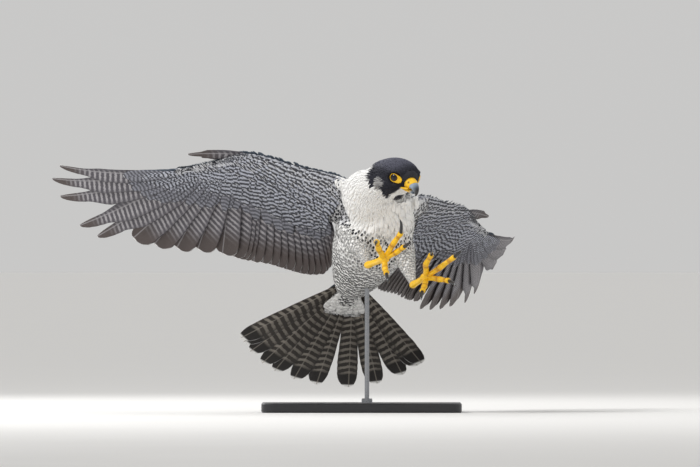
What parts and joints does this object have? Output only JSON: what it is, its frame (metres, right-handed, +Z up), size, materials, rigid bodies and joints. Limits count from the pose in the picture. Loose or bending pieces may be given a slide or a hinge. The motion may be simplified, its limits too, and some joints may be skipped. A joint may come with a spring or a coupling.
{
  "type": "peregrine falcon model",
  "caption": "Life-size peregrine falcon model with raised swept wings, fanned tail and open feet thrown forward, held by a slim rod on a flat base.",
  "frame": {"origin": "centre of the underside of the stand's base", "axes": "+Z up, the bird faces -Y with its right wing towards -X"},
  "size_m": [0.6086, 0.6564, 0.3394],
  "materials": {
    "breast_plumage": "soft white body feathers with fine black spots and bars",
    "hood_plumage": "slate-black close head feathers",
    "wing_plumage": "grey flight feathers with pale bars, finely barred coverts",
    "tail_plumage": "dark tail feathers with pale bars, a blackish end band and white tips",
    "bill_horn": "blue-grey horn, darker at the hooked tip, yellow cere",
    "foot_skin": "yellow-orange scaled skin",
    "claw_horn": "black horn, slightly glossy",
    "eye": "dark brown, wet gloss",
    "stand_metal": "brushed steel rod",
    "stand_paint": "satin black painted steel plate"
  },
  "bodies": {
    "root": {"stand_base": "stand_paint", "stand_rod": "stand_metal", "torso": "breast_plumage", "neck": "breast_plumage", "head": "hood_plumage", "bill_upper": "bill_horn", "bill_lower": "bill_horn", "tail": "tail_plumage", "eye_right": "eye", "wing_right": "wing_plumage", "thigh_right": "breast_plumage", "tarsus_right": "foot_skin", "toe_right_1": "foot_skin", "claw_right_1": "claw_horn", "toe_right_2": "foot_skin", "claw_right_2": "claw_horn", "toe_right_3": "foot_skin", "claw_right_3": "claw_horn", "toe_right_4": "foot_skin", "claw_right_4": "claw_horn", "eye_left": "eye", "wing_left": "wing_plumage", "thigh_left": "breast_plumage", "tarsus_left": "foot_skin", "toe_left_1": "foot_skin", "claw_left_1": "claw_horn", "toe_left_2": "foot_skin", "claw_left_2": "claw_horn", "toe_left_3": "foot_skin", "claw_left_3": "claw_horn", "toe_left_4": "foot_skin", "claw_left_4": "claw_horn"}
  },
  "joints": []
}
